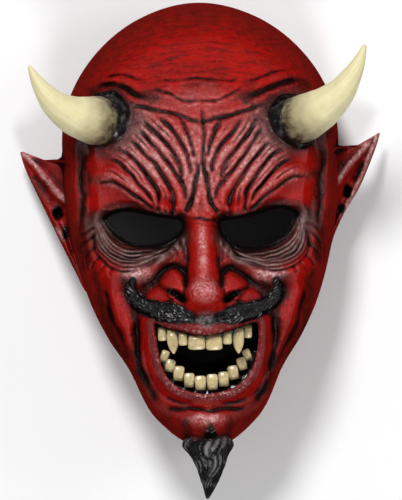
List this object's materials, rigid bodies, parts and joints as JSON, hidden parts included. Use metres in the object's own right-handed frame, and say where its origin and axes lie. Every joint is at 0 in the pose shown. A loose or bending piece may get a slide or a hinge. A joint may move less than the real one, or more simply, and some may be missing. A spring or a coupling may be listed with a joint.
{
  "type": "devil mask",
  "caption": "Moulded full-face devil mask with horns in raised collars, pointed ears, moustache, goatee, open eyes and an open mouth with two rows of teeth.",
  "frame": {"origin": "middle of the bounding box of the whole mask, on the plane of the rear rim it lies on", "axes": "+Z the way the face looks, up from the rim; +Y from chin to crown; +X to the right as seen from the front"},
  "size_m": [0.2208, 0.3026, 0.1588],
  "materials": {
    "skin": "satin, with darker washed creases",
    "horn": "satin, darker at the base",
    "tooth": "gloss"
  },
  "bodies": {
    "root": {"mask_skin": "skin", "horn_left": "horn", "horn_right": "horn", "upper_teeth": "tooth", "lower_teeth": "tooth"}
  },
  "joints": []
}
